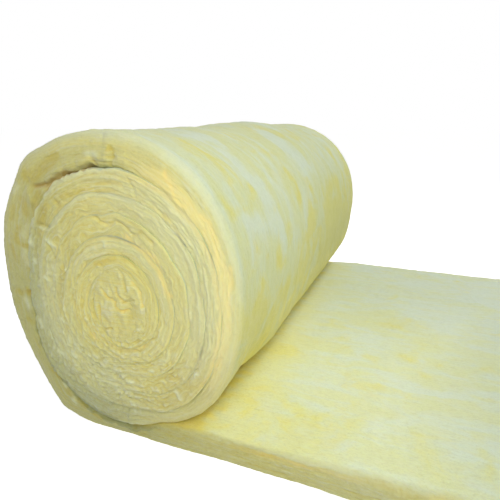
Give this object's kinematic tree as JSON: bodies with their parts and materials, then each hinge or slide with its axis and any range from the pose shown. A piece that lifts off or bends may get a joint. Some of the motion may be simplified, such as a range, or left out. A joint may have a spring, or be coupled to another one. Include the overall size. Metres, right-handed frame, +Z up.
{
  "type": "insulation roll",
  "caption": "Thick blanket of yellowish glass wool wound into a loose roll with no bore, its last stretch lying unrolled and flat on the floor.",
  "frame": {"origin": "on the floor, under the middle of the bounding box", "axes": "+Z up, +X from the roll along the unrolled stretch to its cut end, +Y along the roll's axis; the end from which the inner turns stand out faces -Y"},
  "size_m": [1.5552, 1.212, 0.6301],
  "materials": {
    "glass_wool": "matte, soft, fibrous"
  },
  "bodies": {
    "root": {"glass_wool_blanket": "glass_wool"}
  },
  "joints": []
}
